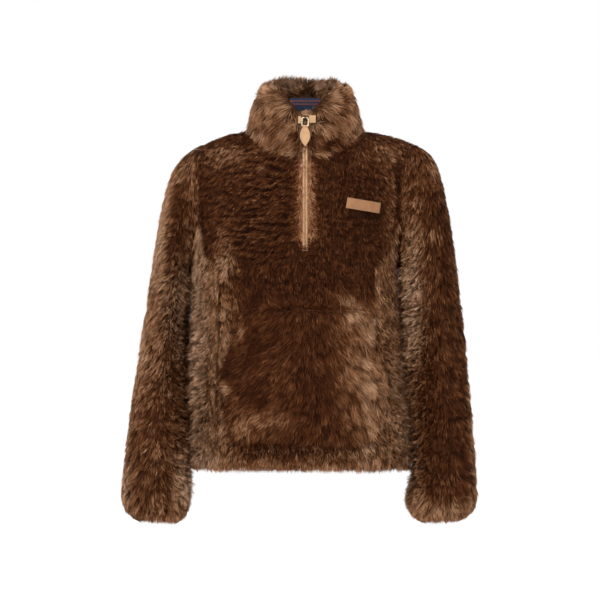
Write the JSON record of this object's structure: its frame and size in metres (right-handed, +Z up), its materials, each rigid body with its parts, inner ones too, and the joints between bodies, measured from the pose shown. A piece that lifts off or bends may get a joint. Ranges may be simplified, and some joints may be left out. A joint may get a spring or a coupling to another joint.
{
  "type": "shearling anorak",
  "caption": "Hip-length half-zip pullover anorak in long-pile shearling, filled out as worn, with stand collar, kangaroo pocket, leather-faced zip and a swinging leather zip pull.",
  "frame": {"origin": "middle of the neck, level with the high points of the shoulders, where the wearer's shoulders hold the garment", "axes": "+Z up along the body, -Y towards the front, +X to the right in a front view"},
  "size_m": [0.684, 0.2842, 0.8453],
  "materials": {
    "wool": "long combed shearling pile, dark reddish brown at the roots and taupe at the tips",
    "wool_collar": "longer and lighter taupe shearling pile, on both sides",
    "natural_leather": "untreated tan leather with a satin surface",
    "zip_metal": "aged brass",
    "label_cloth": "navy woven label, bare"
  },
  "bodies": {
    "coat": {"front": "wool", "back": "wool", "side_left": "wool", "side_right": "wool", "sleeve_left": "wool", "sleeve_right": "wool", "collar": "wool_collar", "pocket": "wool", "zip_facing_left": "natural_leather", "zip_facing_right": "natural_leather", "zip_end_left": "natural_leather", "zip_end_right": "natural_leather", "zip_chain": "zip_metal", "zip_slider": "zip_metal", "chest_patch": "natural_leather", "neck_label": "label_cloth"},
    "pull": {"pull_link": "zip_metal", "pull_tab": "natural_leather"}
  },
  "joints": [
    {"name": "pull_swing", "type": "hinge", "parent": "coat", "child": "pull", "pos_m": [0, -0.09618, 0.01685], "axis": [-1, 0, 0], "range_deg": [0, 150]}
  ]
}
